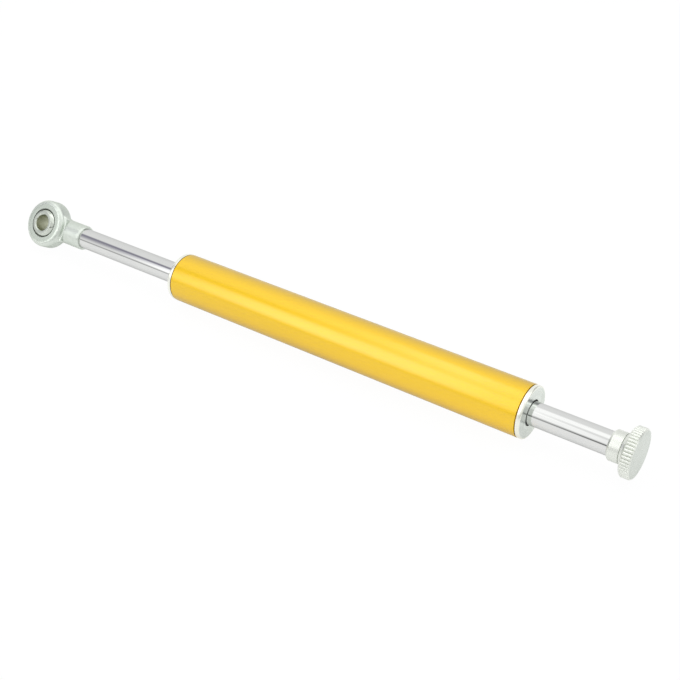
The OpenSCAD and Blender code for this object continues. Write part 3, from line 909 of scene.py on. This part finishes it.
@dataclass
class Adjuster(SubAssembly):
    """The click collar with its spring, and the fluted knob."""

    collar_left: float = 124.3
    collar_face: float = 129.4
    collar_r: float = 6.3
    collar_chamfer: float = 0.9
    chamfer_inner: float = 0.08
    chamfer_outer: float = 0.12
    collar_edge: float = 0.16
    spigot_x: float = 115.3
    spigot_r: float = 3.0
    spigot_edge: float = 0.2
    thread_r: float = 2.0
    pocket_x: float = 126.0
    pocket_r: float = 2.93
    snap_x: float = 127.9
    snap_r: float = 0.33
    snap_steps: int = 12
    click_r: float = 4.6
    click_hole_r: float = 0.93
    click_sides: int = 40
    overcut: float = 1.0
    spring_coil_r: float = 0.77
    spring_wire: float = 0.26
    spring_from: float = 126.17
    spring_to: float = 128.42
    spring_turns: int = 3
    turn_steps: int = 36
    wire_sides: int = 10
    stem_x: float = 126.4
    stem_r: float = 2.9
    stem_edge: float = 0.15
    hub_x: float = 129.8
    hub_r: float = 6.1
    hub_flare: float = 0.6
    hub_fillet: float = 1.0
    lip_x: float = 129.45
    lip_edge: float = 0.08
    track_depth: float = 0.3
    track_half: float = 0.9
    pockets: int = 12
    pocket_hole_r: float = 0.7
    pocket_depth: float = 0.6
    pocket_sides: int = 24
    back_x: float = 131.2
    back_chamfer: float = 0.8
    back_edge: float = 0.12
    front_x: float = 135.8
    front_chamfer: float = 0.6
    front_edge: float = 0.05
    knob_r: float = 10.375
    ribs: int = 45
    rib_r: float = 0.7
    rib_steps: int = 10
    skin: float = 0.01
    slot_r: float = 1.63
    slot_half: float = 0.83
    slot_end: float = 134.2
    slot_sides: int = 48

    def collar(self) -> None:
        """Builds the collar with its spigot, stem pocket, snap groove and click hole."""
        face, out = self.collar_face, self.collar_r
        shape = turned([
            Corner(self.spigot_x, self.thread_r),
            Corner(self.spigot_x, self.spigot_r, self.spigot_edge),
            Corner(self.collar_left, self.spigot_r),
            Corner(self.collar_left, out - self.collar_chamfer, self.chamfer_inner),
            Corner(self.collar_left + self.collar_chamfer, out, self.chamfer_outer),
            Corner(face, out, self.collar_edge), Corner(face, self.pocket_r),
            Corner(self.snap_x + self.snap_r, self.pocket_r),
            Bow(self.snap_x, self.pocket_r, -180, self.snap_steps),
            Corner(self.pocket_x, self.pocket_r), Corner(self.pocket_x, self.thread_r)], self.steps)
        made = as_object(shape, "click_collar_ring")
        length = face - self.pocket_x + self.overcut
        middle = Vector((self.pocket_x + length / 2, 0, self.click_r)) * MM
        cut_out(made, [rod_shape(self.click_hole_r, length, self.click_sides,
                                 Matrix.Translation(middle) @ ALONG_X)])
        self.dress(made, Slot.KNOB, Body.ROD, "click_collar")

    def spring(self) -> None:
        """Winds the click spring from a ring of wire."""
        bm = bmesh.new()
        steps = self.spring_turns * self.turn_steps
        start = Vector((self.spring_from, 0, self.click_r + self.spring_coil_r)) * MM
        bmesh.ops.create_circle(
            bm, cap_ends=True, segments=self.wire_sides, radius=self.spring_wire / 2 * MM,
            matrix=Matrix.Translation(start) @ Matrix.Rotation(math.radians(90), 4, "X"))
        rise = (self.spring_to - self.spring_from) * MM / steps
        bmesh.ops.spin(bm, geom=bm.verts[:] + bm.edges[:] + bm.faces[:],
                       cent=(0, 0, self.click_r * MM), axis=X_AXIS, dvec=(rise, 0, 0),
                       angle=math.tau * self.spring_turns, steps=steps)
        close(bm)
        self.dress(as_object(bm, "click_coil"), Slot.SPRING, Body.ROD, "click_spring")

    def rib_reach(self, angle: float) -> float:
        """Gives the knob's radius at an angle from +Z.

        Args:
            angle: The angle in radians.

        Returns:
            The radius in mm: a rib's round, or the groove where two ribs meet.
        """
        pitch = math.tau / self.ribs
        off = (angle % pitch) - pitch / 2
        mid = self.knob_r - self.rib_r
        return mid * math.cos(off) + math.sqrt(self.rib_r ** 2 - (mid * math.sin(off)) ** 2)

    def flute(self, bm: bmesh.types.BMesh) -> None:
        """Draws the knob's rim in to its ribs, so that the chamfers stay true cones.

        Args:
            bm: The turned knob.
        """
        middle = (self.back_x + self.front_x) / 2 * MM
        for vert in bm.verts:
            radius = vert.co.yz.length
            if radius < (self.knob_r - self.skin) * MM:
                continue
            reach = self.rib_reach(math.atan2(-vert.co.y, vert.co.z)) * MM
            vert.co.yz *= reach / radius
            vert.co.x += radius - reach if vert.co.x > middle else reach - radius

    def knob(self) -> None:
        """Builds the knob: stem, hub with its click track, and the fluted head."""
        lane_in, lane_out = self.click_r - self.track_half, self.click_r + self.track_half
        bed = self.hub_x + self.track_depth
        shape = turned([
            Corner(self.stem_x, 0), Corner(self.stem_x, self.stem_r, self.stem_edge),
            Corner(self.snap_x - self.snap_r, self.stem_r),
            Bow(self.snap_x, self.stem_r, -180, self.snap_steps),
            Corner(self.hub_x, self.stem_r), Corner(self.hub_x, lane_in), Corner(bed, lane_in),
            Corner(bed, lane_out), Corner(self.lip_x, lane_out),
            Corner(self.lip_x, self.hub_r, self.lip_edge),
            Corner(self.back_x, self.hub_r + self.hub_flare, self.hub_fillet),
            Corner(self.back_x, self.knob_r - self.back_chamfer, self.back_edge),
            Corner(self.back_x + self.back_chamfer, self.knob_r),
            Corner(self.front_x - self.front_chamfer, self.knob_r),
            Corner(self.front_x, self.knob_r - self.front_chamfer, self.front_edge),
            Corner(self.front_x, 0)], self.ribs * self.rib_steps, closed=False)
        self.flute(shape)
        made = as_object(shape, "fluted_knob")
        spot = Matrix.Translation(Vector((bed, 0, self.click_r)) * MM)
        turns = [Matrix.Rotation(math.tau * i / self.pockets, 4, "X") for i in range(self.pockets)]
        holes = [rod_shape(self.pocket_hole_r, self.pocket_depth, self.pocket_sides,
                           turn @ spot @ ALONG_X) for turn in turns]
        cut_out(made, holes + [self.tongue_slot()])
        self.dress(made, Slot.KNOB, Body.KNOB, "adjuster_knob")
        front = (self.front_x - self.skin) * MM
        # The knob's front takes the greyer copy of the knob's aluminium, which is painted shade.
        self.paint_some(made, SHADED_KNOB_FACE_FINISH, lambda face: face.center.x > front)

    def tongue_slot(self) -> bmesh.types.BMesh:
        """Makes the flat-sided hole that takes the needle's tongue.

        Returns:
            The shape to take out.
        """
        length = self.slot_end - self.stem_x + self.overcut
        middle = Vector((self.slot_end - length / 2, 0, 0)) * MM
        bm = rod_shape(self.slot_r, length, self.slot_sides,
                       Matrix.Translation(middle) @ ALONG_X)
        for side in (-1, 1):
            cut = bmesh.ops.bisect_plane(
                bm, geom=bm.verts[:] + bm.edges[:] + bm.faces[:], dist=MERGE,
                plane_co=(0, 0, side * self.slot_half * MM), plane_no=(0, 0, side),
                clear_outer=True)
            bmesh.ops.contextual_create(bm, geom=[g for g in cut["geom_cut"]
                                                  if isinstance(g, bmesh.types.BMEdge)])
        close(bm)
        return bm

    def build(self) -> None:
        """Builds the collar, the spring and the knob."""
        self.collar()
        self.spring()
        self.knob()


Span = Tuple[float, float, float, float]
EVERYWHERE: Span = (-9.0, -8.0, 8.0, 9.0)


@dataclass(frozen=True)
class Patch:
    """A patch of the surroundings with soft edges, brighter or darker than white.

    Attributes:
        level: Red, green and blue that it adds to white.
        rise: Degrees above the front horizon where it starts, is full, is still full and ends.
        side: The same places on the sideways part of the direction, from -1 to 1.
    """

    level: Tuple[float, float, float]
    rise: Span
    side: Span = EVERYWHERE


PATCHES = [
    # Front panel, and its bright middle
    Patch((0.32, 0.32, 0.32), (18, 25, 50, 60), (-0.665, -0.625, -0.29, -0.19)),
    Patch((1.65, 1.65, 1.65), (2, 17, 46, 66), (-0.654, -0.544, -0.4, -0.34)),
    # Top panel, and its bright right half
    Patch((0.39, 0.39, 0.39), (66, 78, 98, 116), (-0.62, -0.3, 8, 9)),
    Patch((1.88, 1.88, 1.88), (59, 86, 104, 116), (-0.452, -0.392, -0.387, -0.332)),
    # Between the panels on the right
    Patch((0.82, 0.82, 0.82), (46, 56, 66, 78), (-0.521, -0.457, -0.411, -0.252)),
    # Dark room beyond the panels' left edge
    Patch((-0.68, -0.69, -0.62), (13, 66, 68, 84), (-9, -8, -0.464, -0.384)),
    # Dark doorway and a window over it behind, which only a look from the back meets
    Patch((-0.52, -0.52, -0.5), (124, 138, 158, 176), (-0.2, -0.05, 8, 9)),
    Patch((0.8, 0.8, 0.8), (98, 107, 115, 124), (-0.12, 0.05, 8, 9)),
    # Dark line along the front edge of the table, blacker on the right
    Patch((-0.51, -0.51, -0.51), (-2, 4, 8, 19)),
    Patch((-0.3, -0.3, -0.3), (0, 5, 10, 18), (-0.32, -0.25, 8, 9)),
]


@dataclass
class Studio:
    """A white studio with two soft panels, seen from the photograph's place.

    Attributes:
        eye: The camera's place in mm.
        right: The picture's rightward direction.
        up: Its upward direction.
        lens: Focal length in mm.
        sensor: Width of the sensor in mm.
        near: Nearest distance that the camera sees, in metres.
        floor_half: Half the floor's width in metres.
        floor_drop: How far the floor lies below the tube's axis, in mm.
        floor_seen: Share of the floor that is plain white to the camera, so its shadow stays faint.
        floor_mirrored: The same share in reflections.
        lamp_place: The lamp's place in metres.
        lamp_size: Its length and width in metres.
        lamp_watts: Its power.
    """

    eye: Tuple[float, float, float] = (234.9, -332.6, 269.0)
    right: Tuple[float, float, float] = (0.8155, 0.5787, 0.0)
    up: Tuple[float, float, float] = (-0.3196, 0.4504, 0.8337)
    lens: float = 60.136
    sensor: float = 36.0
    near: float = 0.01
    floor_half: float = 3.0
    floor_drop: float = 13.0
    floor_seen: float = 0.97
    floor_mirrored: float = 0.62
    lamp_place: Tuple[float, float, float] = (0.0, -0.1, 0.9)
    lamp_size: Tuple[float, float] = (0.8, 0.6)
    lamp_watts: float = 1.2

    def camera(self) -> None:
        """Sets up the camera."""
        data = bpy.data.cameras.new("photo_camera")
        data.lens, data.sensor_width, data.clip_start = self.lens, self.sensor, self.near
        made = bpy.data.objects.new("photo_camera", data)
        right = Vector(self.right).normalized()
        back = right.cross(Vector(self.up)).normalized()
        turn = Matrix((right, back.cross(right), back)).transposed().to_4x4()
        made.matrix_world = Matrix.Translation(Vector(self.eye) * MM) @ turn
        bpy.context.scene.collection.objects.link(made)
        bpy.context.scene.camera = made

    def soft_step(self, tree: bpy.types.NodeTree, value: bpy.types.NodeSocket, low: float,
                  high: float) -> bpy.types.NodeSocket:
        """Rises softly from 0 to 1 as a value goes from low to high, either way round.

        Args:
            tree: The world's nodes.
            value: The value.
            low: Where the step is 0.
            high: Where it is 1.

        Returns:
            The step.
        """
        return add_node(tree, "ShaderNodeMapRange", {
            "Value": value, "From Min": low, "From Max": high},
            interpolation_type="SMOOTHSTEP").outputs[0]

    def world(self) -> None:
        """Sets up the white surroundings with their brighter and darker patches."""
        world = bpy.data.worlds.new("white_studio")
        bpy.context.scene.world = world
        world.use_nodes = True
        tree = world.node_tree
        tree.nodes.clear()
        way = add_node(tree, "ShaderNodeTexCoord")
        parts = add_node(tree, "ShaderNodeSeparateXYZ", {0: way.outputs["Generated"]})
        side = parts.outputs["X"]
        front = add_node(tree, "ShaderNodeMath", {0: parts.outputs["Y"], 1: -1.0},
                         operation="MULTIPLY")
        rise = add_node(tree, "ShaderNodeMath", {0: parts.outputs["Z"], 1: front.outputs[0]},
                        operation="ARCTAN2").outputs[0]
        level: Any = WHITE[:3]
        for patch in PATCHES:
            share: Any = 1.0
            for value, span, unit in ((rise, patch.rise, math.radians(1)), (side, patch.side, 1.0)):
                for low, high in (span[:2], span[:1:-1]):
                    edge = self.soft_step(tree, value, low * unit, high * unit)
                    share = add_node(tree, "ShaderNodeMath", {0: share, 1: edge},
                                     operation="MULTIPLY").outputs[0]
            shade = add_node(tree, "ShaderNodeVectorMath", {0: patch.level, "Scale": share},
                             operation="SCALE")
            level = add_node(tree, "ShaderNodeVectorMath", {0: level, 1: shade.outputs[0]},
                             operation="ADD").outputs[0]
        path = add_node(tree, "ShaderNodeLightPath")
        seen = add_node(tree, "ShaderNodeMix", {
            0: path.outputs["Is Camera Ray"], 6: level, 7: WHITE}, data_type="RGBA")
        sky = add_node(tree, "ShaderNodeBackground", {"Color": seen.outputs[2], "Strength": 1.0})
        add_node(tree, "ShaderNodeOutputWorld", {"Surface": sky.outputs[0]})

    def floor(self) -> None:
        """Lays a plain pale floor, which keeps a faint shadow."""
        bm = bmesh.new()
        bmesh.ops.create_grid(bm, x_segments=1, y_segments=1, size=self.floor_half,
                              matrix=Matrix.Translation((0, 0, -self.floor_drop * MM)))
        made = as_object(bm, "floor")
        material = bpy.data.materials.new("white paper sweep")
        material.use_nodes = True
        tree = material.node_tree
        tree.nodes.clear()
        matt = add_node(tree, "ShaderNodeBsdfDiffuse", {"Color": linear("#fbfbfb")})
        glow = add_node(tree, "ShaderNodeEmission", {"Color": WHITE, "Strength": 1.0})
        path = add_node(tree, "ShaderNodeLightPath")
        share: Any = 0.0
        for ray, part in (("Is Camera Ray", self.floor_seen),
                          ("Is Glossy Ray", self.floor_mirrored),
                          ("Is Transmission Ray", self.floor_mirrored)):
            white = add_node(tree, "ShaderNodeMath", {0: path.outputs[ray], 1: part},
                             operation="MULTIPLY")
            share = add_node(tree, "ShaderNodeMath", {0: share, 1: white.outputs[0]},
                             operation="MAXIMUM").outputs[0]
        mixed = add_node(tree, "ShaderNodeMixShader", {
            0: share, 1: matt.outputs[0], 2: glow.outputs[0]})
        add_node(tree, "ShaderNodeOutputMaterial", {"Surface": mixed.outputs[0]})
        made.data.materials.append(material)

    def lamp(self) -> None:
        """Hangs one wide soft lamp above, for the shadow on the floor."""
        data = bpy.data.lights.new("overhead_softbox", "AREA")
        data.shape, data.energy = "RECTANGLE", self.lamp_watts
        data.size, data.size_y = self.lamp_size
        made = bpy.data.objects.new("overhead_softbox", data)
        made.matrix_world = Matrix.Translation(self.lamp_place)
        made.visible_glossy = False
        bpy.context.scene.collection.objects.link(made)

    def build(self) -> None:
        """Builds the studio and sets the plain view."""
        bpy.context.scene.view_settings.view_transform = "Standard"
        self.camera()
        self.world()
        self.floor()
        self.lamp()


def dress_inner_nodes() -> None:
    """Gives each node that keeps its own shape the finish of its slot."""
    for row in frame["record"]["subparts"]:
        node = frame["nodes"][row["node"]]
        if node.hide_render:
            continue
        paint = PAINTS.get(FINISHES[Slot(row["material_slot"])])
        for place in node.material_slots:
            place.material = paint
        log.info("%s: node in %s", row["node"], paint.name)


def main() -> None:
    """Builds the damper's sub-assemblies and the studio."""
    logging.basicConfig(level=logging.INFO, format="%(name)s: %(message)s")
    for part in (Barrel(), Rod(), RodEnd(), Adjuster()):
        part.build()
    dress_inner_nodes()
    Studio().build()


if __name__ == "__main__":
    main()
